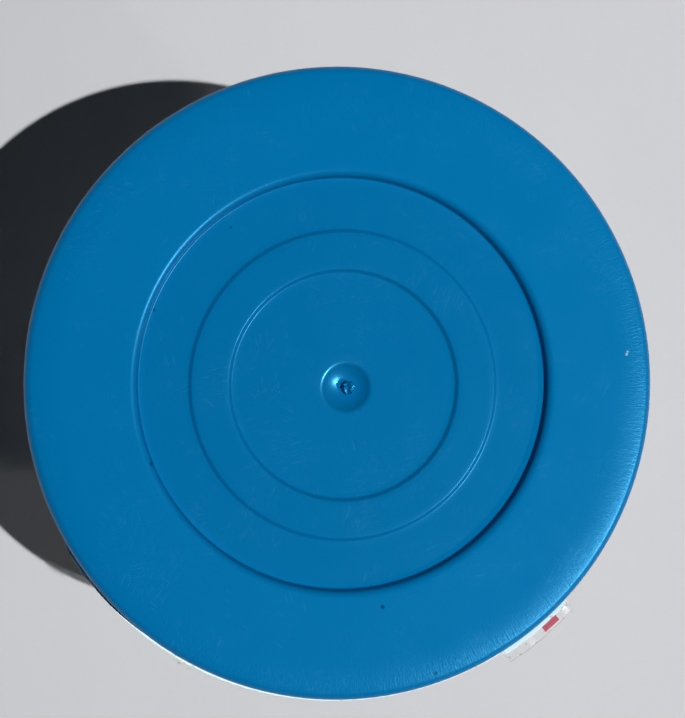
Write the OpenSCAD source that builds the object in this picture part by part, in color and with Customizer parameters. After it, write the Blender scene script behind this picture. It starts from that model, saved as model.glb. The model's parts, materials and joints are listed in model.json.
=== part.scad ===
// Ball-bearing throwing top. The tip stays still on the ground while the clear
// body, its steel weight ring and the push-fit cap turn around it on two bearings.
// Origin: the lowest point of the tip ball. +Z: the spin axis, towards the cap.

/* [Overall] */
// Diameter of the cap, the widest rigid part
cap_d = 100; // [98:0.5:104]
// Height from the lowest point of the ball to the cap's top face
total_h = 82; // [81:0.5:86]

/* [Cap] */
// Wall thickness of the cap
cap_wall = 1.6; // [1.4:0.1:1.8]
// Height of the skirt, from the top face to its lower edge
skirt_h = 6.4; // [6:0.2:8]
// Radius of the rounded outer edge
rim_round = 1.8; // [1.4:0.1:3]
// Radius of the dished middle at the foot of its wall
dish_r = 32.5; // [31:0.5:33.5]
// Depth of the dished middle
dish_depth = 2; // [1.6:0.1:2.4]
// Radius of the raised pad in the dish
pad_r = 24.4; // [23:0.2:26]
// Rise of the pad above the dish
pad_rise = 0.5; // [0.3:0.1:0.8]
// Radius of the well in the pad
well_r = 18.1; // [16:0.1:20]
// Drop of the well below the pad
well_drop = 0.6; // [0.3:0.1:0.8]
// Radius of the central dimple at its lip
dimple_r = 4; // [3.6:0.1:5]
// Depth of the central dimple
dimple_depth = 1.7; // [1.2:0.1:2]
// Radius of the gate stub left by moulding
gate_r = 0.7; // [0.5:0.1:1]
// Height of the gate stub above the bottom of the dimple
gate_h = 1.1; // [0.5:0.1:1.3]
// Height of the plug ring that goes into the shell's mouth
plug_h = 4.4; // [3.5:0.1:5]

/* [Shell] */
// Wall thickness of the shell
shell_wall = 1.8; // [1.6:0.1:2]
// Outside radius of the shell below its mouth
shell_r = 46.2; // [45.5:0.1:46.6]
// Outside radius of the shell at its floor
neck_r = 20.5; // [20:0.5:22]
// Number of string steps on the tapered part
string_steps = 7; // [5:1:9]
// Width of the level tread of one string step
tread = 1.2; // [0.8:0.1:1.4]

/* [Bearings] */
// Radius of the axle bolt and of the inner races' bore
axle_r = 2.5; // [2.5:0.1:2.5]
// Outside radius of a bearing
bearing_r = 8; // [8:0.1:8]
// Width of a bearing
bearing_w = 5; // [5:0.1:5]
// Radius of one bearing ball
ball_r = 1.4; // [1.3:0.05:1.45]
// Number of balls in a bearing
ball_count = 7; // [6:1:8]
// Height of the lower bearing's lower face
lower_z = 16; // [16:0.5:18]
// Gap between the two bearings, filled by the spacers
spacer_h = 6; // [5:0.5:7]

/* [Tip] */
// Radius of the tip ball
tip_ball_r = 4; // [3.5:0.1:4.2]

/* [Flywheel] */
// Outside radius of the steel weight ring
ring_r = 41.8; // [40:0.1:42]
// Width of the weight ring, inside to outside
ring_w = 6; // [4:0.5:6]
// Height of the weight ring
ring_h = 7; // [5:0.5:8]

/* [Printed band] */
// Thickness of the film
film_t = 0.3; // [0.3:0.05:0.4]
// Height of the film on the shell
film_h = 13; // [10:0.5:15]
// How far the film's free edge stands out past the skirt
film_flare = 0.5; // [0.3:0.1:1]
// How far the torn tab stands out past the skirt
tab_reach = 2.8; // [2:0.1:4]

/* [Hidden] */
$fn = 96;
// margin by which a cutting solid passes the face it cuts
over = 1;

// cap levels
cap_r = cap_d / 2;
dish_z = total_h - dish_depth;
pad_z = dish_z + pad_rise;
well_z = pad_z - well_drop;
dimple_z = well_z - dimple_depth;
skirt_z = total_h - skirt_h;
skirt_draft = 0.25;
// small round on the skirt's lower edge
skirt_round = 0.3;
under_z = total_h - cap_wall;
inner_round = 0.4;
plug_chamfer = 0.5;
// half-width of the two shallow S-shaped steps in the cap
step_half = 0.4;
// the dish's wall leans outwards, with a small fillet at its foot and a rounded top edge
wall_lean = 12;
foot_round = 0.3;
edge_round = 1.2;
foot_x = dish_r - foot_round;
edge_x = foot_x + (edge_round + foot_round) * cos(wall_lean)
    + (dish_depth - (edge_round + foot_round) * (1 - sin(wall_lean))) * tan(wall_lean);
// outward shift of the wall's underside, which keeps the wall's thickness
under_shift = 1.1;
// the dimple: a bowl that turns into a rounded lip at this slope
dimple_lip = 1;
dimple_slope = 2 * atan(dimple_depth / dimple_r);
dimple_bowl = dimple_r / sin(dimple_slope) - dimple_lip;
// the boss under the dimple
boss_r = dimple_r - 1;
boss_slope = 1.6;
// the gate stub stands a little off the axis
gate_x = 0.6;
gate_y = -0.1;
// points on each S-shaped step or rounded corner
curve_n = 8;

// shell levels
floor_z = 13;
floor_t = 2;
floor_round = 0.8;
// the mouth stops just short of the cap's underside, and its lip just short of the skirt
mouth_gap = 0.05;
mouth_z = under_z - mouth_gap;
mouth_chamfer = 0.4;
lip_gap = 0.7;
lip_r = cap_r - cap_wall - lip_gap;
lip_h = 1.4;
lip_edge = 0.3;
lip_rise = 0.8;
// the string steps start here
taper_z = floor_z + 1.5;
// the taper ends and the round shoulder starts here
taper_top_z = 50;
taper_top_r = 38.5;
shoulder_z = 64;
mouth_r = shell_r - shell_wall;
// the inside of the taper keeps a full wall behind the inner corners of the string steps
inner_taper_r = taper_top_r - shell_wall - tread / 2;
inner_floor_r = neck_r - shell_wall + 0.2;
inner_lift = 0.8;
riser_lean = 0.3;
plug_gap = 0.08;
plug_wall = 1.4;

// bearing geometry: everything is measured from the axis and from a bearing's middle
pitch_r = (axle_r + bearing_r) / 2;
groove_gap = 0.05;
inner_land_r = 4.3;
outer_land_r = 6.2;
land_gap = 0.35;
shield_t = 0.25;
shield_seat = 0.5;
shield_set_in = 0.05;
shield_z = bearing_w / 2 - shield_set_in - shield_t;
cage_low = 0.7;
cage_top = 1.85;
upper_z = lower_z + bearing_w + spacer_h;
lower_mid = lower_z + bearing_w / 2;
upper_mid = upper_z + bearing_w / 2;
stack_z = upper_z + bearing_w;
washer_t = 1;
washer_r = inner_land_r - 0.1;

// hub
hub_r = 13;
hub_flange_r = 17;
hub_flange_t = 2;
hub_base_z = floor_z - hub_flange_t;
hub_rise = 6;
hub_top_z = stack_z + hub_rise;
hub_lip_r = 6.9;
// chamfer on the turned parts' edges
edge = 0.6;
clip_t = 1;
clip_depth = 0.6;
nut_r = 17.5;
nut_h = 5;
nut_z = floor_z + floor_t;

// bolt and tip
bolt_head_r = 4.25;
bolt_head_h = 3.5;
ball_floor = 4.2;
bolt_z = tip_ball_r + ball_floor;
hex_key_r = 1.75;
shim_t = 1;
holder_top_z = lower_z - shim_t;
shim_r = 3.9;
holder_r = 6.4;
// the holder's rim grips the ball a little below its middle
grip_h = 0.7;
grip_wall = 0.6;
// the holder's cone and its two spanner flats
cone_h = 2.5;
flat_x = 5.4;
flat_z = tip_ball_r + cone_h + 0.5;
flat_h = 4.5;

// carrier
plate_t = 2.5;
plate_r = 16;
channel_z = 60;
channel_t = 2;
channel_wall = 1.4;
channel_lip = 0.4;
ring_gap = 0.1;
window_margin = 1.5;
spoke_count = 6;
spoke_w = 7;
screw_count = 3;
screw_pitch_r = 10.5;
screw_r = 1.25;
screw_head_r = 2.3;
screw_head_h = 1.4;
screw_len = 7;
screw_hole_r = screw_r + 0.1;
screw_key_r = 0.9;
screw_key_depth = 0.8;
ring_z = channel_z + channel_t;
ring_screw_pitch_r = ring_r - ring_w / 2;

// film: angles of the free edge and of the tab, about +Z from +X
film_gap = 0.4;
film_top_z = skirt_z - film_gap;
flare_h = 1.2;
// the tight part of the band ends inside the flare, whose root is in the wall of the band
tight_drop = 0.4;
root_low = 0.8;
root_high = 0.2;
free_edge_from = -160;
tab_from = -59;
tab_to = -43;
tear_angle = 3;
tab_drop = 1;

// points on an arc about (x, y), from angle a to angle b
function arc(x, y, r, a, b, n) = [
    for (i = [0:n])
        let (angle = a + (b - a) * i / n)
        [x + r * cos(angle), y + r * sin(angle)]
];

// points on an S-shaped step centred at radius r, from level z_in (inside) to z_out (outside)
function s_step(r, z_in, z_out) = [
    for (i = [0:curve_n])
        let (t = i / curve_n)
        [r + step_half * (2 * t - 1), z_in + (z_out - z_in) * t * t * (3 - 2 * t)]
];

// points on the dish's wall, from its foot to the top face
function dish_wall(lift, shift) = concat(
    arc(foot_x + shift, dish_z + lift + foot_round, foot_round, -90, -wall_lean, 3),
    arc(edge_x + shift, total_h + lift - edge_round, edge_round, 180 - wall_lean, 90, curve_n)
);

// the cap's face outside the dimple; lift and shift move it to make the underside
function cap_face(lift, shift) = concat(
    s_step(well_r, well_z + lift, pad_z + lift),
    s_step(pad_r, pad_z + lift, dish_z + lift),
    dish_wall(lift, shift)
);

// reverses a list of points
function reversed(points) = [for (i = [len(points) - 1:-1:0]) points[i]];

// the dimple's bowl and lip, from the axis outwards
function dimple() = concat(
    arc(0, dimple_z + dimple_bowl, dimple_bowl, -90, dimple_slope - 90, curve_n),
    arc(dimple_r, well_z - dimple_lip, dimple_lip, 90 + dimple_slope, 90, curve_n)
);

module turned(points) {
    rotate_extrude()
        polygon(points);
}

module tube(r_out, r_in, z, h) {
    translate([0, 0, z])
        difference() {
            cylinder(h = h, r = r_out);
            translate([0, 0, -over])
                cylinder(h = h + 2 * over, r = r_in);
        }
}

module around(count, r, phase = 0) {
    for (i = [0:count - 1])
        rotate([0, 0, phase + i * 360 / count])
            translate([r, 0, 0])
                children();
}

// groove for the balls, a true torus
module ball_groove(mid) {
    translate([0, 0, mid])
        rotate_extrude()
            translate([pitch_r, 0])
                circle(r = ball_r + groove_gap, $fn = 48);
}

module tip_ball() {
    color("silver")
        translate([0, 0, tip_ball_r])
            sphere(r = tip_ball_r);
}

module tip_holder() {
    rim_r = tip_ball_r + grip_wall;
    top_r = shim_r + 0.8;
    top_edge = 1;
    color("goldenrod")
        difference() {
            turned([
                [0, tip_ball_r - grip_h], [rim_r, tip_ball_r - grip_h], [rim_r + 0.4, tip_ball_r],
                [holder_r, tip_ball_r + cone_h], [holder_r, holder_top_z - top_edge], [top_r, holder_top_z],
                [0, holder_top_z]
            ]);
            translate([0, 0, tip_ball_r])
                sphere(r = tip_ball_r);
            translate([0, 0, bolt_z])
                cylinder(h = holder_top_z - bolt_z + over, r = axle_r);
            for (side = [0, 180])
                rotate([0, 0, side])
                    translate([flat_x, -holder_r, flat_z])
                        cube([holder_r, 2 * holder_r, flat_h]);
        }
}

module lower_shim() {
    color("silver")
        tube(shim_r, axle_r, holder_top_z, shim_t);
}

module inner_race(mid) {
    color("silver")
        difference() {
            tube(inner_land_r, axle_r, mid - bearing_w / 2, bearing_w);
            ball_groove(mid);
        }
}

module outer_race(mid) {
    color("silver")
        difference() {
            tube(bearing_r, outer_land_r, mid - bearing_w / 2, bearing_w);
            ball_groove(mid);
            for (side = [-1, 1])
                translate([0, 0, mid + side * (shield_z + shield_t / 2)])
                    cylinder(h = shield_t, r = outer_land_r + shield_seat, center = true);
        }
}

module ball_set(mid) {
    color("silver")
        translate([0, 0, mid])
            around(ball_count, pitch_r)
                sphere(r = ball_r, $fn = 48);
}

// crown cage: a solid back with ball pockets open towards the tip
module cage(mid) {
    color("peru")
        translate([0, 0, mid])
            difference() {
                tube(outer_land_r - land_gap, inner_land_r + land_gap, -cage_low, cage_low + cage_top);
                around(ball_count, pitch_r)
                    sphere(r = ball_r + groove_gap, $fn = 48);
            }
}

module shield_pair(mid) {
    color("gray")
        for (side = [-1, 1])
            translate([0, 0, mid + side * (shield_z + shield_t / 2)])
                tube(outer_land_r + shield_seat, inner_land_r + land_gap, -shield_t / 2, shield_t);
}

module inner_spacer() {
    color("silver")
        tube(shim_r, axle_r, lower_z + bearing_w, spacer_h);
}

module outer_spacer() {
    color("silver")
        tube(bearing_r, hub_lip_r, lower_z + bearing_w, spacer_h);
}

module head_washer() {
    color("silver")
        tube(washer_r, axle_r, stack_z, washer_t);
}

module axle_bolt() {
    head_z = stack_z + washer_t;
    socket_depth = 2.2;
    chamfer = 0.5;
    color("dimgray")
        difference() {
            turned([
                [0, bolt_z], [axle_r - chamfer, bolt_z], [axle_r, bolt_z + chamfer], [axle_r, head_z],
                [bolt_head_r, head_z], [bolt_head_r, head_z + bolt_head_h - chamfer],
                [bolt_head_r - chamfer, head_z + bolt_head_h], [0, head_z + bolt_head_h]
            ]);
            translate([0, 0, head_z + bolt_head_h - socket_depth])
                cylinder(h = socket_depth + over, r = hex_key_r, $fn = 6);
        }
}

module retaining_ring() {
    gap_w = 3;
    color("dimgray")
        difference() {
            tube(bearing_r + clip_depth, hub_lip_r, stack_z, clip_t);
            translate([0, -gap_w / 2, stack_z - over])
                cube([bearing_r + over, gap_w, clip_t + 2 * over]);
        }
}

module bearing_hub() {
    color("lightsteelblue")
        difference() {
            turned([
                [hub_lip_r, hub_base_z], [hub_flange_r - edge, hub_base_z], [hub_flange_r, hub_base_z + edge],
                [hub_flange_r, floor_z], [hub_r, floor_z], [hub_r, hub_top_z - edge],
                [hub_r - edge, hub_top_z], [bearing_r + edge, hub_top_z], [bearing_r, hub_top_z - edge],
                [bearing_r, lower_z], [hub_lip_r, lower_z]
            ]);
            tube(bearing_r + clip_depth, hub_lip_r, stack_z, clip_t);
            around(screw_count, screw_pitch_r)
                translate([0, 0, hub_top_z - screw_len + plate_t])
                    cylinder(h = screw_len, r = screw_r);
        }
}

module hub_nut() {
    slots = 4;
    slot_w = 4;
    slot_depth = 2;
    color("lightsteelblue")
        difference() {
            tube(nut_r, hub_r, nut_z, nut_h);
            around(slots, nut_r - slot_depth, 45)
                translate([0, -slot_w / 2, nut_z + slot_depth])
                    cube([slot_depth + over, slot_w, nut_h]);
        }
}

// height of the shell's round shoulder at fraction t of its curve
function shoulder_level(t) =
    taper_top_z + (shoulder_z - taper_top_z) * (0.65 * t + 0.35 * (1 - cos(90 * t)));

// outline of the shell's outside, floor to mouth, with one riser and one tread per string step
function shell_outside() = concat(
    [[hub_r, floor_z], [neck_r - floor_round, floor_z], [neck_r, floor_z + floor_round]],
    [
        for (i = [1:string_steps], end = [0, 1])
            let (
                t = i / string_steps,
                z = taper_z + (taper_top_z - taper_z) * t,
                r = neck_r + (taper_top_r - neck_r) * t
            )
            [r - (1 - end) * tread, z - (1 - end) * riser_lean]
    ],
    [
        for (i = [1:curve_n])
            let (t = i / curve_n)
            [taper_top_r + (shell_r - taper_top_r) * sin(90 * t), shoulder_level(t)]
    ],
    [
        [shell_r, mouth_z - lip_h - lip_rise], [lip_r - lip_edge, mouth_z - lip_h],
        [lip_r, mouth_z - lip_h + lip_edge], [lip_r, mouth_z - lip_edge], [lip_r - lip_edge, mouth_z]
    ]
);

// outline of the shell's inside, mouth to floor
function shell_inside() = concat(
    [[mouth_r + mouth_chamfer, mouth_z], [mouth_r, mouth_z - mouth_chamfer]],
    [
        for (i = [curve_n:-1:0])
            let (t = i / curve_n)
            [inner_taper_r + (mouth_r - inner_taper_r) * sin(90 * t), shoulder_level(t) + inner_lift]
    ],
    [[inner_floor_r, floor_z + floor_t], [hub_r, floor_z + floor_t]]
);

module body_shell() {
    color("aliceblue", 0.5)
        turned(concat(shell_outside(), shell_inside()));
}

module weight_carrier() {
    plate_in = bearing_r + edge;
    channel_in = ring_r - ring_w - ring_gap - channel_wall;
    channel_out = ring_r + channel_lip;
    wall_top_z = ring_z + ring_h - 1;
    color("white")
        difference() {
            turned([
                [plate_in, hub_top_z], [plate_r, hub_top_z], [channel_in, channel_z],
                [channel_out, channel_z], [channel_out, ring_z], [channel_in + channel_wall, ring_z],
                [channel_in + channel_wall, wall_top_z], [channel_in, wall_top_z],
                [channel_in, ring_z], [plate_r - 1, hub_top_z + plate_t], [plate_in, hub_top_z + plate_t]
            ]);
            for (i = [0:spoke_count - 1])
                rotate([0, 0, (i + 0.5) * 360 / spoke_count])
                    window(channel_in - window_margin);
            around(screw_count, screw_pitch_r)
                translate([0, 0, hub_top_z - over])
                    cylinder(h = plate_t + 2 * over, r = screw_hole_r);
            around(spoke_count, ring_screw_pitch_r)
                translate([0, 0, channel_z - over])
                    cylinder(h = channel_t + 2 * over, r = screw_hole_r);
        }
}

// the cut between two spokes: a wedge-shaped window with level sides
module window(r_out) {
    half = 180 / spoke_count;
    side = spoke_w / 2;
    r_in = plate_r + window_margin;
    a_in = half - asin(side / r_in);
    a_out = half - asin(side / r_out);
    translate([0, 0, hub_top_z - over])
        linear_extrude(height = channel_z + channel_t - hub_top_z + 2 * over)
            polygon(concat(arc(0, 0, r_in, -a_in, a_in, curve_n), arc(0, 0, r_out, a_out, -a_out, curve_n)));
}

// pan-head screw pointing down, its head standing on level z
module screw(z, len) {
    translate([0, 0, z])
        difference() {
            union() {
                translate([0, 0, -len])
                    cylinder(h = len, r = screw_r, $fn = 32);
                cylinder(h = screw_head_h, r = screw_head_r, $fn = 32);
            }
            translate([0, 0, screw_head_h - screw_key_depth])
                cylinder(h = screw_key_depth + over, r = screw_key_r, $fn = 6);
        }
}

module carrier_screws() {
    color("silver")
        around(screw_count, screw_pitch_r)
            screw(hub_top_z + plate_t, screw_len);
}

module flywheel_ring() {
    r_in = ring_r - ring_w;
    color("gray")
        difference() {
            turned([
                [r_in + edge, ring_z], [ring_r - edge, ring_z], [ring_r, ring_z + edge],
                [ring_r, ring_z + ring_h - edge], [ring_r - edge, ring_z + ring_h],
                [r_in + edge, ring_z + ring_h], [r_in, ring_z + ring_h - edge], [r_in, ring_z + edge]
            ]);
            around(spoke_count, ring_screw_pitch_r)
                translate([0, 0, ring_z - over])
                    cylinder(h = screw_len - channel_t + over, r = screw_r);
        }
}

module ring_screws() {
    color("silver")
        around(spoke_count, ring_screw_pitch_r)
            translate([0, 0, channel_z])
                mirror([0, 0, 1])
                    screw(0, screw_len);
}

// a stretch of the film's upper edge, sprung outwards to radius out, between two angles
module film_edge(from, to, out, drop) {
    root_r = shell_r + film_t / 2;
    bend_z = film_top_z - flare_h;
    rotate([0, 0, from])
        rotate_extrude(angle = to - from)
            polygon([
                [root_r, bend_z - root_low], [shell_r + film_t, bend_z - root_low],
                [out, film_top_z - film_t - drop], [out, film_top_z - drop], [root_r, bend_z + root_high]
            ]);
}

// film around the shell, its upper edge sprung outwards, with one torn tab
module printed_band() {
    color("whitesmoke", 0.6)
        union() {
            tube(shell_r + film_t, shell_r, film_top_z - film_h, film_h - tight_drop);
            film_edge(free_edge_from, tab_from - tear_angle, cap_r + film_flare, 0);
            film_edge(tab_from, tab_to, cap_r + tab_reach, tab_drop);
        }
}

// half-section of the cap, from the bottom of the dimple around the skirt and back under it
function cap_outline(inner_r, plug_r) = concat(
    dimple(),
    cap_face(0, 0),
    arc(cap_r - rim_round, total_h - rim_round, rim_round, 90, 0, curve_n),
    [[cap_r - skirt_draft, skirt_z + skirt_round], [cap_r - skirt_draft - skirt_round, skirt_z]],
    [[inner_r - skirt_draft + skirt_round, skirt_z], [inner_r - skirt_draft, skirt_z + skirt_round]],
    arc(inner_r - inner_round, under_z - inner_round, inner_round, 0, 90, 4),
    [[plug_r, under_z], [plug_r, under_z - plug_h + plug_chamfer], [plug_r - plug_chamfer, under_z - plug_h]],
    [[plug_r - plug_wall, under_z - plug_h], [plug_r - plug_wall, under_z]],
    reversed(cap_face(-cap_wall, under_shift)),
    [[boss_r + boss_slope, well_z - cap_wall], [boss_r, dimple_z - cap_wall], [0, dimple_z - cap_wall]]
);

module cap() {
    color("steelblue")
        union() {
            turned(cap_outline(cap_r - cap_wall, mouth_r - plug_gap));
            translate([gate_x, gate_y, dimple_z - cap_wall / 2])
                cylinder(h = cap_wall / 2 + gate_h, r = gate_r, $fn = 32);
        }
}

tip_ball();
tip_holder();
lower_shim();
inner_race(lower_mid);  // lower_inner_race
inner_spacer();
inner_race(upper_mid);  // upper_inner_race
head_washer();
axle_bolt();
ball_set(lower_mid);  // lower_balls
cage(lower_mid);  // lower_cage
ball_set(upper_mid);  // upper_balls
cage(upper_mid);  // upper_cage
outer_race(lower_mid);  // lower_outer_race
outer_race(upper_mid);  // upper_outer_race
shield_pair(lower_mid);  // lower_shields
shield_pair(upper_mid);  // upper_shields
outer_spacer();
retaining_ring();
bearing_hub();
hub_nut();
body_shell();
weight_carrier();
carrier_screws();
flywheel_ring();
ring_screws();
printed_band();
cap();
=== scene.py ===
"""Looks of a ball-bearing throwing top: blue dished cap, clear stepped body, film band, steel and brass."""

import json
import math

import bpy
from mathutils import Matrix, Vector, noise


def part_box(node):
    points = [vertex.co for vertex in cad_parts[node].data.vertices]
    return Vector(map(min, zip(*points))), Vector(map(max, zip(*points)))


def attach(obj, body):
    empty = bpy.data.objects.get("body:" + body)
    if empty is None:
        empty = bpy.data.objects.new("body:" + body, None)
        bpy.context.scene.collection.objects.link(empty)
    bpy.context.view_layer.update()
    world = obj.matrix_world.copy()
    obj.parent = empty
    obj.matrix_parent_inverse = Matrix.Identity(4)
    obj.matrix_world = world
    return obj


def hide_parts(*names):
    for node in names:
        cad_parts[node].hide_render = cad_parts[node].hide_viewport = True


MM = 0.001

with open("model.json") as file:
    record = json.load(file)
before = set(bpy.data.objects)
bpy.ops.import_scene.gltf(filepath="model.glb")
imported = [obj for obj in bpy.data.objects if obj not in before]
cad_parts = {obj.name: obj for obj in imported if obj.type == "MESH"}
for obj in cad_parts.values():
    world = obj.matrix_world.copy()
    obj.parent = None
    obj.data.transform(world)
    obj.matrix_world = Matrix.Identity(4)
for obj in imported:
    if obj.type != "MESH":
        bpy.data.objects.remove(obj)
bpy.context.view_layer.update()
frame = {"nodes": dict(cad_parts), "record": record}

# ---------------------------------------------------------------- sizes, from the frame

cap_low, cap_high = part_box("cap")
CAP_R = cap_high.x / MM
TOP_Z = cap_high.z / MM
SKIRT_Z = cap_low.z / MM
BAND_LOW_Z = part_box("printed_band")[0].z / MM

# ---------------------------------------------------------------- camera

# where the camera stands, seen from the middle of the cap's top, and its lens
VIEW_TILT = math.radians(8.8)
VIEW_SIDE = math.radians(172)
VIEW_DISTANCE = 327 * MM
LENS = 104.4
# point of the cap's top plane that the camera aims at
AIM = Vector((-0.5 * MM, 3.9 * MM, TOP_Z * MM))


def direction(side, from_up):
    """unit vector at an azimuth and an angle from the vertical"""
    flat = math.sin(from_up)
    return Vector((math.cos(side) * flat, math.sin(side) * flat, math.cos(from_up)))


def add_camera():
    place = Vector((0, 0, TOP_Z * MM)) + direction(VIEW_SIDE, VIEW_TILT) * VIEW_DISTANCE
    back = (place - AIM).normalized()
    right = Vector((0, 1, 0)).cross(back).normalized()
    up = back.cross(right)
    turn = Matrix((right, up, back)).transposed().to_4x4()
    data = bpy.data.cameras.new("camera")
    data.lens = LENS
    data.clip_start = 0.01
    camera = bpy.data.objects.new("camera", data)
    bpy.context.scene.collection.objects.link(camera)
    camera.matrix_world = Matrix.Translation(place) @ turn
    bpy.context.scene.camera = camera


# ---------------------------------------------------------------- light and floor

# the lamp that casts the shadow; it gives no gloss
KEY_SIDE = math.radians(-20)
KEY_FROM_UP = math.radians(15)
KEY_ENERGY = 4.1
KEY_ANGLE = 0.6
# the lamp that gives only gloss: the camera sees it where the surface leans by this much to this side
GLOSS_SIDE = math.radians(-34)
GLOSS_LEAN = math.radians(18)
GLOSS_ENERGY = 5.0
GLOSS_ANGLE = 2.0
# four soft lamps round the object, with their energies in turn
SIDE_ENERGIES = (0.07, 0.07, 0.01, 0.01)
SIDE_FROM = 20
SIDE_SIZE = 0.4
SIDE_DISTANCE = 0.8
SIDE_HEIGHT = 0.12
SIDE_AIM = Vector((0, 0, 0.05))
SKY_STRENGTH = 0.008
FLOOR_SIZE = 6


def add_sun(name, towards, energy, angle, color):
    data = bpy.data.lights.new(name, "SUN")
    data.energy = energy
    data.angle = math.radians(angle)
    data.color = color
    lamp = bpy.data.objects.new(name, data)
    bpy.context.scene.collection.objects.link(lamp)
    lamp.rotation_euler = towards.to_track_quat("Z", "Y").to_euler()
    return lamp


def add_light():
    key = add_sun("key", direction(KEY_SIDE, KEY_FROM_UP), KEY_ENERGY, KEY_ANGLE, (1.0, 0.985, 0.95))
    key.visible_glossy = False
    lean = direction(GLOSS_SIDE, GLOSS_LEAN)
    eye = direction(VIEW_SIDE, VIEW_TILT)
    mirrored = lean * (2 * lean.dot(eye)) - eye
    gloss = add_sun("gloss", mirrored, GLOSS_ENERGY, GLOSS_ANGLE, (1.0, 1.0, 1.0))
    gloss.visible_diffuse = False
    for i, energy in enumerate(SIDE_ENERGIES):
        a = math.radians(SIDE_FROM + 90 * i)
        data = bpy.data.lights.new(f"side_{i}", "AREA")
        data.energy = energy
        data.size = SIDE_SIZE
        data.color = (0.93, 0.97, 1.0)
        lamp = bpy.data.objects.new(f"side_{i}", data)
        bpy.context.scene.collection.objects.link(lamp)
        place = Vector((SIDE_DISTANCE * math.cos(a), SIDE_DISTANCE * math.sin(a), SIDE_HEIGHT))
        lamp.location = place
        lamp.rotation_euler = (place - SIDE_AIM).to_track_quat("Z", "Y").to_euler()
    world = bpy.data.worlds.new("world")
    world.use_nodes = True
    back = world.node_tree.nodes["Background"]
    back.inputs["Color"].default_value = (0.72, 0.85, 1.0, 1)
    back.inputs["Strength"].default_value = SKY_STRENGTH
    bpy.context.scene.world = world
    bpy.context.scene.view_settings.view_transform = "Standard"


# ---------------------------------------------------------------- node helpers


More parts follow.
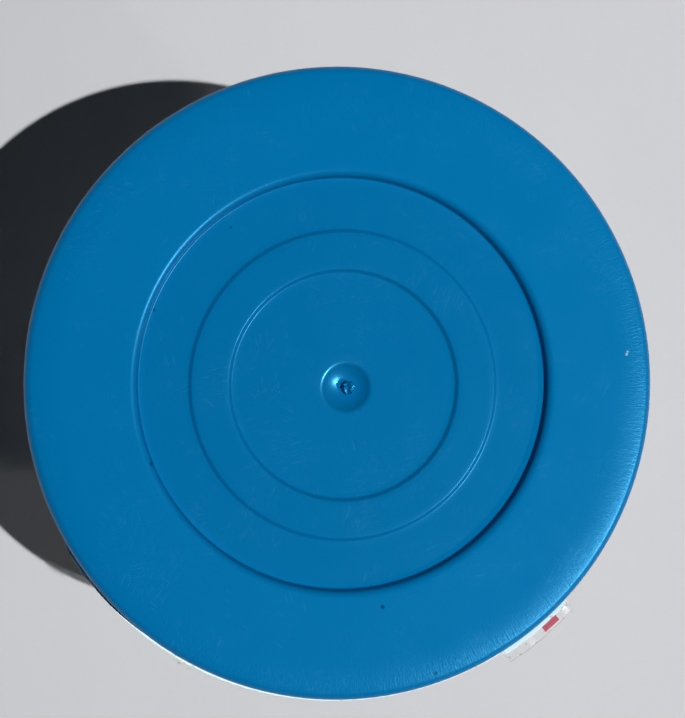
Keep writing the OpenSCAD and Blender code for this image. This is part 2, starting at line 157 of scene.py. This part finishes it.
class Nodes:
    """Short names for the shader nodes that the materials use."""

    def __init__(self, name):
        self.material = bpy.data.materials.new(name)
        self.material.use_nodes = True
        self.tree = self.material.node_tree
        self.shader = self.tree.nodes["Principled BSDF"]
        coord = self.tree.nodes.new("ShaderNodeTexCoord")
        scaled = self.tree.nodes.new("ShaderNodeVectorMath")
        scaled.operation = "SCALE"
        scaled.inputs["Scale"].default_value = 1 / MM
        self.tree.links.new(coord.outputs["Object"], scaled.inputs[0])
        self.place = scaled.outputs[0]
        split = self.tree.nodes.new("ShaderNodeSeparateXYZ")
        self.tree.links.new(self.place, split.inputs[0])
        self.x, self.y, self.z = split.outputs

    def set(self, **values):
        for key, value in values.items():
            self.shader.inputs[key.replace("_", " ")].default_value = value

    def link(self, out, key):
        self.tree.links.new(out, self.shader.inputs[key])

    def math(self, op, a, b=0.0):
        n = self.tree.nodes.new("ShaderNodeMath")
        n.operation = op
        for i, v in enumerate((a, b)):
            if isinstance(v, (int, float)):
                n.inputs[i].default_value = v
            else:
                self.tree.links.new(v, n.inputs[i])
        return n.outputs[0]

    def join(self, x, y, z):
        n = self.tree.nodes.new("ShaderNodeCombineXYZ")
        for i, v in enumerate((x, y, z)):
            if isinstance(v, (int, float)):
                n.inputs[i].default_value = v
            else:
                self.tree.links.new(v, n.inputs[i])
        return n.outputs[0]

    def polar(self):
        """radius in mm and angle in radians about the spin axis"""
        length = self.tree.nodes.new("ShaderNodeVectorMath")
        length.operation = "LENGTH"
        self.tree.links.new(self.join(self.x, self.y, 0.0), length.inputs[0])
        return length.outputs["Value"], self.math("ARCTAN2", self.y, self.x)

    def noise(self, vector=None, scale=1.0, detail=2.0, rough=0.5):
        n = self.tree.nodes.new("ShaderNodeTexNoise")
        n.inputs["Scale"].default_value = scale
        n.inputs["Detail"].default_value = detail
        n.inputs["Roughness"].default_value = rough
        self.tree.links.new(vector or self.place, n.inputs["Vector"])
        return n.outputs["Fac"]

    def spots(self, scale):
        n = self.tree.nodes.new("ShaderNodeTexVoronoi")
        n.inputs["Scale"].default_value = scale
        self.tree.links.new(self.place, n.inputs["Vector"])
        return n.outputs["Distance"]

    def span(self, value, low, high, to_low=0.0, to_high=1.0):
        n = self.tree.nodes.new("ShaderNodeMapRange")
        n.inputs["From Min"].default_value = low
        n.inputs["From Max"].default_value = high
        n.inputs["To Min"].default_value = to_low
        n.inputs["To Max"].default_value = to_high
        self.tree.links.new(value, n.inputs["Value"])
        return n.outputs["Result"]

    def mix(self, fac, a, b):
        n = self.tree.nodes.new("ShaderNodeMix")
        n.data_type = "RGBA"
        for socket, v in ((n.inputs[0], fac), (n.inputs[6], a), (n.inputs[7], b)):
            if isinstance(v, (int, float)):
                socket.default_value = v
            elif isinstance(v, tuple):
                socket.default_value = (*v, 1)
            else:
                self.tree.links.new(v, socket)
        return n.outputs[2]

    def turned(self, vector, angle):
        """the place, turned about Z"""
        n = self.tree.nodes.new("ShaderNodeVectorRotate")
        n.rotation_type = "Z_AXIS"
        n.inputs["Angle"].default_value = angle
        self.tree.links.new(vector, n.inputs["Vector"])
        return n.outputs[0]

    def stretched(self, vector, sx, sy, sz):
        n = self.tree.nodes.new("ShaderNodeVectorMath")
        n.operation = "MULTIPLY"
        n.inputs[1].default_value = (sx, sy, sz)
        self.tree.links.new(vector, n.inputs[0])
        return n.outputs[0]

    def bump(self, height, distance, strength=1.0, after=None):
        n = self.tree.nodes.new("ShaderNodeBump")
        n.inputs["Distance"].default_value = distance
        n.inputs["Strength"].default_value = strength
        self.tree.links.new(height, n.inputs["Height"])
        if after is not None:
            self.tree.links.new(after, n.inputs["Normal"])
        return n.outputs[0]

    def scratches(self, angles, width=9.0, length=0.35):
        """fine lines in several directions, 0 to 1"""
        cut = 0.68
        total = None
        for i, angle in enumerate(angles):
            lines = self.stretched(self.turned(self.place, angle), width, length, 1.0)
            field = self.noise(lines, 1.0, 3.0, 0.6)
            patch = self.noise(self.place, 0.09 + 0.03 * i, 1.0)
            depth = self.math("MULTIPLY", field, self.span(patch, 0.35, 0.65, 0.75, 1.1))
            line = self.span(depth, cut, cut + 0.05)
            total = line if total is None else self.math("MAXIMUM", total, line)
        return total


# ---------------------------------------------------------------- materials

# noise cells in one radian round the rim, and in one mm across turned metal
FLOW_LINES = 170.0
TOOL_RINGS = 26.0
# small marks on the cap's face: x, y and radius in mm
DARK_MARKS = (
    (-29.9, 11.6, 0.35),
    (-30.4, -12.3, 0.45),
    (5.9, -35.2, 0.45),
    (14.5, -45.9, 0.4),
    (-17.9, 24.5, 0.25),
)
WHITE_MARKS = ((45.6, 4.6, 0.3), (45.75, 5.0, 0.25))


def near(n, x, y, r):
    """1 at a mark, fading to 0 at its radius"""
    dx = n.math("SUBTRACT", n.x, x)
    dy = n.math("SUBTRACT", n.y, y)
    d = n.math("SQRT", n.math("ADD", n.math("MULTIPLY", dx, dx), n.math("MULTIPLY", dy, dy)))
    return n.span(d, r * 0.4, r, 1.0, 0.0)


def any_of(n, marks):
    """1 at any of the marks"""
    total = None
    for mark in marks:
        m = near(n, *mark)
        total = m if total is None else n.math("MAXIMUM", total, m)
    return total


def blue_plastic():
    """satin moulded blue with scuffs, dust, small marks and flow lines near the rim"""
    n = Nodes("blue_plastic_look")
    r, around = n.polar()
    # painted sheen makes one side a little lighter, over a random cloud of tone
    cloud = n.math("MULTIPLY", n.noise(scale=0.07, detail=3.0), 0.25)
    sheen_and_tone = n.math("ADD", n.span(n.x, -CAP_R, CAP_R, 0.0, 0.8), cloud)
    blue = n.mix(sheen_and_tone, (0.0, 0.117, 0.306), (0.0, 0.137, 0.350))
    # painted shade makes the recess a little darker
    blue = n.mix(n.span(r, DISH_R - 1.0, DISH_R + 0.5, 0.09, 0.0), blue, (0.0, 0.02, 0.05))
    scuffs = n.scratches((0.4, 1.3, 2.2, 2.9))
    blue = n.mix(n.math("MULTIPLY", scuffs, 0.10), blue, (0.10, 0.30, 0.52))
    dust = n.span(n.spots(0.8), 0.0, 0.07, 1.0, 0.0)
    blue = n.mix(n.math("MULTIPLY", dust, 0.10), blue, (0.2, 0.35, 0.45))
    blue = n.mix(n.math("MULTIPLY", any_of(n, WHITE_MARKS), 0.6), blue, (0.4, 0.55, 0.65))
    blue = n.mix(n.math("MULTIPLY", any_of(n, DARK_MARKS), 0.8), blue, (0.0, 0.03, 0.08))
    n.link(blue, "Base Color")
    rough = n.span(n.noise(scale=0.12, detail=4.0), 0.3, 0.7, 0.30, 0.35)
    n.link(n.math("ADD", rough, n.math("MULTIPLY", scuffs, 0.08)), "Roughness")
    # the dimple is glossier than the rest of the face
    n.link(n.span(r, 3.5, 5.0, 1.0, 0.36), "Specular IOR Level")
    n.set(IOR=1.5, Specular_Tint=(0.10, 0.60, 1.0, 1))
    grain = n.bump(n.noise(scale=3.2, detail=4.0, rough=0.65), 0.02 * MM, 0.7)
    # flow lines that run outwards across the rim
    flow = n.noise(n.join(n.math("MULTIPLY", n.math("COSINE", around), FLOW_LINES),
                          n.math("MULTIPLY", n.math("SINE", around), FLOW_LINES),
                          n.math("MULTIPLY", r, 0.8)), 1.0, 3.0, 0.6)
    rim = n.span(r, CAP_R - 7, CAP_R - 2.5)
    lines = n.bump(n.math("MULTIPLY", flow, rim), 0.045 * MM, 1.0, grain)
    n.link(n.bump(n.math("MULTIPLY", scuffs, -1.0), 0.006 * MM, 0.4, lines), "Normal")
    return n.material


def clear_plastic():
    """clear moulded plastic, denser at its edges, with scuffs and slow waves"""
    n = Nodes("clear_plastic_look")
    edge = n.tree.nodes.new("ShaderNodeLayerWeight")
    edge.inputs["Blend"].default_value = 0.35
    body = n.span(edge.outputs["Facing"], 0.0, 1.0, 0.14, 0.62)
    scuffs = n.scratches((0.2, 1.1, 1.9), 5.0, 0.4)
    n.link(n.math("ADD", body, n.math("MULTIPLY", scuffs, 0.12)), "Alpha")
    n.set(Base_Color=(0.80, 0.88, 0.92, 1), Roughness=0.07, IOR=1.58)
    flow = n.noise(n.stretched(n.place, 0.12, 0.12, 0.5), 1.0, 3.0)
    n.link(n.bump(flow, 0.12 * MM, 0.4), "Normal")
    return n.material


def metal(name, color, rough, depth=0.004):
    """turned metal: fine tool rings round the axis, smudges in the roughness"""
    n = Nodes(name)
    r = n.polar()[0]
    across = n.join(n.math("MULTIPLY", r, TOOL_RINGS), n.math("MULTIPLY", n.z, TOOL_RINGS), 0.0)
    rings = n.noise(across, 1.0, 2.0)
    smudge = n.noise(scale=0.25, detail=4.0)
    both = n.math("ADD", n.math("MULTIPLY", rings, 0.5), n.math("MULTIPLY", smudge, 0.5))
    n.link(n.span(both, 0.3, 0.7, rough * 0.75, rough * 1.3), "Roughness")
    darker = tuple(c * 0.82 for c in color)
    n.link(n.mix(smudge, darker, color), "Base Color")
    n.set(Metallic=1.0)
    n.link(n.bump(rings, depth * MM, 0.6), "Normal")
    return n.material


def moulded(name, color, rough):
    """moulded plastic with a fine matt grain"""
    n = Nodes(name)
    cloud = n.noise(scale=0.08, detail=3.0)
    n.link(n.mix(cloud, tuple(c * 0.93 for c in color), color), "Base Color")
    n.link(n.span(n.noise(scale=0.6, detail=4.0), 0.3, 0.7, rough * 0.85, rough * 1.15), "Roughness")
    n.link(n.bump(n.noise(scale=5.0, detail=3.0), 0.01 * MM, 0.5), "Normal")
    return n.material


def film_look():
    """
    clear film with plain red blocks; film_place holds mm along the film, mm above its bend, and how
    much painted highlight or milkiness whitens it, or, below zero, how much painted shade darkens it
    """
    n = Nodes("film_look")
    a = n.tree.nodes.new("ShaderNodeAttribute")
    a.attribute_name = "film_place"
    split = n.tree.nodes.new("ShaderNodeSeparateXYZ")
    n.tree.links.new(a.outputs["Vector"], split.inputs[0])
    along, up, state = split.outputs
    glint_and_milky = n.math("MAXIMUM", state, 0.0)
    painted_shade_lines = n.math("MAXIMUM", n.math("MULTIPLY", state, -1.0), 0.0)
    step = n.math("PINGPONG", along, BLOCK_PITCH / 2)
    wide = n.span(step, BLOCK_W / 2 - 0.06, BLOCK_W / 2 + 0.06, 1.0, 0.0)
    off = n.math("ABSOLUTE", n.math("SUBTRACT", up, BLOCK_UP))
    low = n.math("ABSOLUTE", n.math("SUBTRACT", up, BLOCK_DOWN))
    high = n.span(n.math("MINIMUM", off, low), BLOCK_H / 2 - 0.05, BLOCK_H / 2 + 0.05, 1.0, 0.0)
    block = n.math("MULTIPLY", wide, high)
    # the bend is whitened with painted highlight and one stretch is milky; creases and the tab's edge are
    # darkened with painted shade
    clear = n.mix(glint_and_milky, (0.50, 0.49, 0.48), (0.66, 0.86, 0.93))
    clear = n.mix(painted_shade_lines, clear, (0.10, 0.10, 0.10))
    n.link(n.mix(block, clear, (0.33, 0.035, 0.075)), "Base Color")
    haze = n.span(n.noise(scale=0.5, detail=4.0), 0.3, 0.7, 0.05, 0.12)
    alpha = n.math("MAXIMUM", n.math("MAXIMUM", haze, glint_and_milky), painted_shade_lines)
    n.link(n.math("MAXIMUM", alpha, block), "Alpha")
    n.link(n.span(block, 0.0, 1.0, 0.2, 0.6), "Roughness")
    n.set(IOR=1.5, Specular_IOR_Level=0.25)
    n.link(n.bump(n.noise(scale=1.6, detail=3.0), 0.02 * MM, 0.4), "Normal")
    return n.material


def floor_look():
    """pale matt floor, with painted light making one side a little lighter"""
    n = Nodes("floor_look")
    tone_and_painted_light = n.noise(scale=0.02, detail=4.0)
    fine = n.noise(scale=0.35, detail=5.0, rough=0.65)
    # painted light makes the floor lighter towards +x
    tone_and_painted_light = n.math("ADD", n.math("MULTIPLY", tone_and_painted_light, 0.5), n.span(n.x, -60.0, 60.0, -0.2, 0.5))
    tone = n.mix(tone_and_painted_light, (0.430, 0.446, 0.480), (0.500, 0.508, 0.548))
    tone = n.mix(n.math("MULTIPLY", fine, 0.25), tone, (0.42, 0.42, 0.44))
    n.link(tone, "Base Color")
    n.set(Roughness=0.85)
    n.link(n.bump(fine, 0.08 * MM, 0.5), "Normal")
    return n.material


# ---------------------------------------------------------------- mesh helpers


def smooth(value, low, high):
    """0 up to low, 1 from high, with a soft rise between"""
    t = min(1.0, max(0.0, (value - low) / (high - low)))
    return t * t * (3 - 2 * t)


def arc(x, y, r, a, b, n):
    """points on an arc, angles in degrees"""
    steps = [math.radians(a + (b - a) * i / n) for i in range(n + 1)]
    return [(x + r * math.cos(t), y + r * math.sin(t)) for t in steps]


def level(r_from, r_to, z, step=0.9):
    """points along a level stretch, both ends left out"""
    n = max(1, round(abs(r_to - r_from) / step))
    return [(r_from + (r_to - r_from) * i / n, z) for i in range(1, n)]


def new_object(name, verts, faces, material):
    mesh = bpy.data.meshes.new(name)
    mesh.from_pydata([Vector(v) * MM for v in verts], [], faces)
    mesh.validate()
    mesh.shade_smooth()
    mesh.materials.append(material)
    obj = bpy.data.objects.new(name, mesh)
    bpy.context.scene.collection.objects.link(obj)
    return obj


def lathe(name, outline, segments, material, move):
    """turns a closed half-section that starts and ends on the axis; move(x, y, z, i) places each point"""
    verts, rings = [], []
    for i, (r, z) in enumerate(outline):
        if r <= 0:
            rings.append([len(verts)])
            verts.append(move(0, 0, z, i))
            continue
        ring = []
        for k in range(segments):
            a = 2 * math.pi * k / segments
            ring.append(len(verts))
            verts.append(move(r * math.cos(a), r * math.sin(a), z, i))
        rings.append(ring)
    faces = []
    for low, high in zip(rings, rings[1:]):
        for k in range(segments):
            j = (k + 1) % segments
            if len(low) == 1:
                faces.append((low[0], high[k], high[j]))
            elif len(high) == 1:
                faces.append((low[k], high[0], low[j]))
            else:
                faces.append((low[k], high[k], high[j], low[j]))
    return new_object(name, verts, faces, material)


# ---------------------------------------------------------------- the cap

# sizes in mm; the rim's rounding, the fall towards it, the dimple's radius, the gate's stub and the
# shifts differ from the CAD cap, and the rest are the same
CAP_WALL = 1.6
RIM_ROUND = 1.6
INNER_ROUND = 0.4
DISH_R = 32.5
DISH_DEPTH = 2.0
PAD_R = 24.4
PAD_RISE = 0.5
WELL_R = 18.1
WELL_DROP = 0.6
# half the width of the soft steps at the pad and the well
STEP_HALF = 0.4
# roundings at the foot and the top of the dish's wall, its lean in degrees, and how much wider the dish
# is on the underside
FOOT_ROUND = 0.3
EDGE_ROUND = 1.2
WALL_LEAN = 12
UNDER_SHIFT = 1.1
# the dimple, and the boss that backs it
DIMPLE_R = 4.3
DIMPLE_DEPTH = 1.7
DIMPLE_LIP = 1.0
BOSS_R = DIMPLE_R - 1
BOSS_SLOPE = 1.6
# the gate's stub in the dimple: its place, half its widths, its height, and the radius it keeps within
GATE = (0.45, -0.02)
GATE_R = (0.95, 1.05)
GATE_H = 1.75
GATE_REACH = 2.4
SKIRT_DRAFT = 0.25
SKIRT_EDGE = 0.3
PLUG_R = 44.32
PLUG_WALL = 1.4
PLUG_H = 4.4
PLUG_CHAMFER = 0.5
# the face falls away a little towards the rim, from this radius, down to this slope
CROWN_R = 44.0
CROWN_SLOPE = math.radians(9)
# the moulded steps sit a little off centre, and the dimple a little more; radii where each shift fades
STEP_SHIFT = (0.05, -0.28)
STEP_FADE = (26, 31)
DIMPLE_SHIFT = (0.36, -0.38)
DIMPLE_FADE = (6, 14)
# parts of the outline's soft steps, of its fall towards the rim and of its skirt, and parts round the cap
STEP_PARTS = 10
CROWN_PARTS = 8
SKIRT_PARTS = 3
CAP_SEGMENTS = 384


def s_step(r, z_in, z_out):
    """a soft step between two levels, centred on a radius"""
    points = []
    for i in range(STEP_PARTS + 1):
        t = i / STEP_PARTS
        points.append((r + STEP_HALF * (2 * t - 1), z_in + (z_out - z_in) * t * t * (3 - 2 * t)))
    return points


def cap_face(lift, shift, step):
    """the cap's face from the dimple's lip to the start of the rim's rounding"""
    dish_z = TOP_Z - DISH_DEPTH + lift
    pad_z = dish_z + PAD_RISE
    well_z = pad_z - WELL_DROP
    lean = math.radians(WALL_LEAN)
    foot_x = DISH_R - FOOT_ROUND + shift
    edge_x = (foot_x + (EDGE_ROUND + FOOT_ROUND) * math.cos(lean)
              + (DISH_DEPTH - (EDGE_ROUND + FOOT_ROUND) * (1 - math.sin(lean))) * math.tan(lean))
    points = level(DIMPLE_R, WELL_R - STEP_HALF, well_z, step)
    points += s_step(WELL_R, well_z, pad_z)
    points += level(WELL_R + STEP_HALF, PAD_R - STEP_HALF, pad_z, step)
    points += s_step(PAD_R, pad_z, dish_z)
    points += level(PAD_R + STEP_HALF, foot_x, dish_z, step)
    points += arc(foot_x, dish_z + FOOT_ROUND, FOOT_ROUND, -90, -WALL_LEAN, 5)
    points += arc(edge_x, TOP_Z + lift - EDGE_ROUND, EDGE_ROUND, 180 - WALL_LEAN, 90, 9)
    return points


def cap_top():
    """the cap's outside, from the bottom of the dimple over the rim to the skirt's lower edge"""
    well_z = TOP_Z - DISH_DEPTH + PAD_RISE - WELL_DROP
    dimple_z = well_z - DIMPLE_DEPTH
    slope = 2 * math.atan(DIMPLE_DEPTH / DIMPLE_R)
    bowl = DIMPLE_R / math.sin(slope) - DIMPLE_LIP
    steep = math.degrees(slope)
    points = [(0, dimple_z)]
    points += arc(0, dimple_z + bowl, bowl, -90, steep - 90, 38)[1:]
    points += arc(DIMPLE_R, well_z - DIMPLE_LIP, DIMPLE_LIP, 90 + steep, 90, 9)[1:]
    points += cap_face(0, 0, 0.9)
    points += level(points[-1][0], CROWN_R, TOP_Z)
    rim_x = CAP_R - RIM_ROUND
    crown_w = rim_x + RIM_ROUND * math.sin(CROWN_SLOPE) - CROWN_R
    crown_h = crown_w * math.tan(CROWN_SLOPE) / 2
    ways = [t / CROWN_PARTS for t in range(CROWN_PARTS)]
    points += [(CROWN_R + crown_w * way, TOP_Z - crown_h * way ** 2) for way in ways]
    rim_z = TOP_Z - crown_h - RIM_ROUND * math.cos(CROWN_SLOPE)
    points += arc(rim_x, rim_z, RIM_ROUND, 90 - math.degrees(CROWN_SLOPE), 0, 18)
    skirt_h = rim_z - SKIRT_Z - SKIRT_EDGE
    ways = [t / SKIRT_PARTS for t in range(1, SKIRT_PARTS + 1)]
    points += [(CAP_R - SKIRT_DRAFT * way, rim_z - skirt_h * way) for way in ways]
    return points


def cap_underside():
    """from the skirt's lower edge, round the plug ring, to the middle of the underside"""
    well_z = TOP_Z - DISH_DEPTH + PAD_RISE - WELL_DROP
    dimple_z = well_z - DIMPLE_DEPTH
    under_z = TOP_Z - CAP_WALL
    inner_r = CAP_R - CAP_WALL
    edge_z = SKIRT_Z + SKIRT_EDGE
    points = arc(CAP_R - SKIRT_DRAFT - SKIRT_EDGE, edge_z, SKIRT_EDGE, 0, -90, 4)[1:]
    points += arc(inner_r - SKIRT_DRAFT + SKIRT_EDGE, edge_z, SKIRT_EDGE, 270, 180, 4)
    points += arc(inner_r - INNER_ROUND, under_z - INNER_ROUND, INNER_ROUND, 0, 90, 5)
    plug_z = under_z - PLUG_H
    points += [(PLUG_R, under_z), (PLUG_R, plug_z + PLUG_CHAMFER), (PLUG_R - PLUG_CHAMFER, plug_z)]
    points += [(PLUG_R - PLUG_WALL, plug_z), (PLUG_R - PLUG_WALL, under_z)]
    points += reversed(cap_face(-CAP_WALL, UNDER_SHIFT, 3.0))
    points += [(BOSS_R + BOSS_SLOPE, well_z - CAP_WALL), (BOSS_R, dimple_z - CAP_WALL)]
    points += [(0, dimple_z - CAP_WALL)]
    return points


def cap_relief(x, y, z, i):
    """gentle moulding waviness, the ragged stub of the gate in the dimple, and the steps' shift"""
    r = math.hypot(x, y)
    if i < CAP_TOP_POINTS:
        z += 0.03 * noise.noise(Vector((x * 0.05, y * 0.05, 3.1)))
        z += 0.006 * noise.noise(Vector((x * 0.25, y * 0.25, 7.7)))
        if r < GATE_REACH:
            dx, dy = (x - GATE[0]) / GATE_R[0], (y - GATE[1]) / GATE_R[1]
            ragged = noise.noise(Vector((x * 2.6, y * 2.6, 1.3)))
            torn = noise.noise(Vector((x * 1.9, y * 1.9, 9.4)))
            inside = smooth(1.0 - math.hypot(dx, dy) + 0.16 * ragged, -0.08, 0.1)
            z += inside * GATE_H * (0.82 + 0.16 * dx + 0.3 * torn)
    steps = 1 - smooth(r, *STEP_FADE)
    dimple = 1 - smooth(r, *DIMPLE_FADE)
    x += STEP_SHIFT[0] * steps + DIMPLE_SHIFT[0] * dimple
    y += STEP_SHIFT[1] * steps + DIMPLE_SHIFT[1] * dimple
    return (x, y, z)


# how many of the outline's points lie on the face and the rim, before those of the skirt
CAP_TOP_POINTS = len(cap_top()) - SKIRT_PARTS

# ---------------------------------------------------------------- the film

# plain red blocks printed on the film: width, height, distance apart, angle of the first, and the
# middles of the upper and the lower row, in mm above the bend
BLOCK_W = 2.7
BLOCK_H = 1.15
BLOCK_PITCH = 38.0
BLOCK_AT = -48.4
BLOCK_UP = 0.65
BLOCK_DOWN = -12.0
# radius of the shell that the film sits on, and the film's thickness
SHELL_R = 46.2
FILM_T = 0.06
# columns of points round the film, and rows up its tight part and its free part
FILM_COLUMNS = 720
TIGHT_ROWS = 8
FREE_ROWS = 36
# angles between which the film's upper edge stands free, and the one where its milky part ends
EDGE_FROM = -153
EDGE_TO = -24
MILKY_TO = -97
# angles of the torn tab, of the small fold, and of the lower fold that trails from that
TAB_FROM = -58.5
TAB_TO = -43.5
FOLD_FROM = -121.5
FOLD_TO = -117.5
TRAIL_FROM = -117
TRAIL_TO = -101
# length of the tight part, radius that the ledge under the skirt reaches at both ends, the width of
# the bend at its edge, its lean in degrees, and the width of the tab beyond
TIGHT_H = 11.8
LEDGE_FROM_R = 50.2
LEDGE_TO_R = 51.15
BEND_W = 0.75
BEND_LEAN = 32
TAB_W = 1.75


def window(value, low, high, soft):
    """1 between low and high, fading to 0 over soft on either side"""
    return smooth(value, low - soft, low + soft) * (1 - smooth(value, high - soft, high + soft))


def film_shape(angle):
    """how free the upper edge is at an angle, and how much of the tab and of the folds is there"""
    free = window(angle, EDGE_FROM, EDGE_TO, 3.5)
    tab = window(angle, TAB_FROM, TAB_TO, 0.35)
    fold = window(angle, FOLD_FROM, FOLD_TO, 0.9) + 0.35 * window(angle, TRAIL_FROM, TRAIL_TO, 1.5)
    return free, tab, fold


def film_ledge(angle, tab):
    """width of the ledge, which grows towards the tab, and of the bend, which is widest there"""
    way = min(1.0, max(0.0, (angle - EDGE_FROM) / (TAB_FROM - EDGE_FROM))) ** 1.3
    ledge_r = LEDGE_FROM_R + (LEDGE_TO_R - LEDGE_FROM_R) * way + 0.15 * tab
    return ledge_r - SHELL_R, BEND_W * (0.38 + 0.62 * tab)


def film_length(angle):
    """length of the film from its lower edge to its upper edge"""
    free, tab, fold = film_shape(angle)
    ledge_w, bend_w = film_ledge(angle, tab)
    ragged = 0.12 * noise.noise(Vector((angle * 0.45, 2.0, 0.0)))
    ragged += 0.06 * noise.noise(Vector((angle * 2.3, 5.0, 0.0)))
    loose = ledge_w + bend_w * (1.0 + ragged * (1 - tab)) + fold * 0.75 + tab * (TAB_W + 0.6 * ragged)
    return TIGHT_H + 0.5 + free * (loose - 0.5)


def film_point(angle, up):
    """
    the film's point at a distance up from its lower edge: its place, mm above the bend, and how much
    painted highlight or milkiness whitens it, or, below zero, how much painted shade darkens it
    """
    free, tab, fold = film_shape(angle)
    ledge_w, bend_w = film_ledge(angle, tab)
    wave = noise.noise(Vector((angle * 0.9, up * 0.5, 0.0)))
    ripple = noise.noise(Vector((angle * 0.3, up * 0.12, 4.0)))
    past = max(0.0, up - TIGHT_H)
    ledge = min(past, ledge_w)
    bend = min(max(0.0, past - ledge_w), bend_w)
    flap = max(0.0, past - ledge_w - bend_w)
    r = SHELL_R + FILM_T + 0.04 * abs(wave) + 0.04 * abs(ripple)
    z = BAND_LOW_Z + min(up, TIGHT_H) + (1 - free) * past
    lean = math.radians(BEND_LEAN - 12 * fold)
    reach = ledge + bend * math.cos(lean) + flap * (0.97 + 0.1 * fold)
    r += free * (reach + 0.06 * wave * smooth(past, 2, 4))
    rise = 0.55 * smooth(ledge, 0, ledge_w) + bend * math.sin(lean) - 0.25 * flap
    z += free * (rise + (0.12 * ripple + 0.16 * fold * wave) * smooth(past, 3.6, 4.4))
    on_tab = smooth(flap, 0.0, 0.2)
    # painted highlight whitens the film along its bend, and a milky part runs further round
    glint_and_milky = free * smooth(past, ledge_w - 0.25, ledge_w) * (1 - on_tab)
    milky = 0.5 * window(angle, EDGE_FROM, MILKY_TO, 3.0) * smooth(past, 0.5, 2.0) * (1 - on_tab)
    glint_and_milky = max(glint_and_milky, milky)
    # painted shade darkens the film's creases, and a dark line of painted shade runs along the tab's edge
    painted_shade_lines = 0.5 * free * smooth(noise.noise(Vector((angle * 1.4, up * 1.1, 8.0))), 0.36, 0.55)
    edge = 0.35 * tab * smooth(up, film_length(angle) - 0.14, film_length(angle) - 0.04)
    a = math.radians(angle)
    return (r * math.cos(a), r * math.sin(a), z), past - ledge_w - bend_w, glint_and_milky - max(painted_shade_lines, edge)


def add_film(material):
    """the whole band, one column of points after another round the shell"""
    verts, places, faces, rings = [], [], [], []
    for c in range(FILM_COLUMNS):
        angle = -180 + 360 * c / FILM_COLUMNS
        length = film_length(angle)
        steps = [TIGHT_H * k / TIGHT_ROWS for k in range(TIGHT_ROWS)]
        steps += [TIGHT_H + (length - TIGHT_H) * k / FREE_ROWS for k in range(FREE_ROWS + 1)]
        along = math.radians(angle - BLOCK_AT) * SHELL_R
        ring = []
        for up in steps:
            place, above, state = film_point(angle, up)
            ring.append(len(verts))
            verts.append(place)
            places.append((along, above, state))
        rings.append(ring)
    for c, ring in enumerate(rings):
        after = rings[(c + 1) % FILM_COLUMNS]
        faces += [(ring[k], after[k], after[k + 1], ring[k + 1]) for k in range(len(ring) - 1)]
    film = new_object("film_band", verts, faces, material)
    data = film.data.attributes.new("film_place", "FLOAT_VECTOR", "POINT")
    for i, v in enumerate(places):
        data.data[i].vector = v
    thick = film.modifiers.new("thick", "SOLIDIFY")
    thick.thickness = FILM_T * MM
    thick.offset = 1
    return film


# ---------------------------------------------------------------- build

add_camera()
add_light()

blue = blue_plastic()
cap = lathe("cap_moulding", cap_top() + cap_underside(), CAP_SEGMENTS, blue, cap_relief)
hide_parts("cap")
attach(cap, "cap_body")

film = add_film(film_look())
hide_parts("printed_band")
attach(film, "top_body")

# every other piece keeps its CAD shape and takes the look of its material slot
LOOKS = {
    "clear_plastic": clear_plastic(),
    "white_plastic": moulded("white_plastic_look", (0.78, 0.78, 0.76), 0.45),
    "cage_plastic": moulded("cage_plastic_look", (0.5, 0.34, 0.17), 0.4),
    "hub_metal": metal("hub_metal_look", (0.78, 0.79, 0.81), 0.28),
    "weight_steel": metal("weight_steel_look", (0.5, 0.5, 0.52), 0.32),
    "bearing_steel": metal("bearing_steel_look", (0.62, 0.62, 0.64), 0.18),
    "ball_steel": metal("ball_steel_look", (0.75, 0.75, 0.77), 0.08, depth=0.001),
    "holder_brass": metal("holder_brass_look", (0.83, 0.6, 0.26), 0.24),
    "black_steel": metal("black_steel_look", (0.07, 0.07, 0.075), 0.4),
    "screw_steel": metal("screw_steel_look", (0.6, 0.6, 0.61), 0.28),
}
for part in frame["record"]["subparts"]:
    look = LOOKS.get(part["material_slot"])
    if look is not None:
        for slot in frame["nodes"][part["node"]].material_slots:
            slot.material = look

bpy.ops.mesh.primitive_plane_add(size=FLOOR_SIZE)
floor = bpy.context.object
floor.name = "floor"
floor.data.materials.append(floor_look())
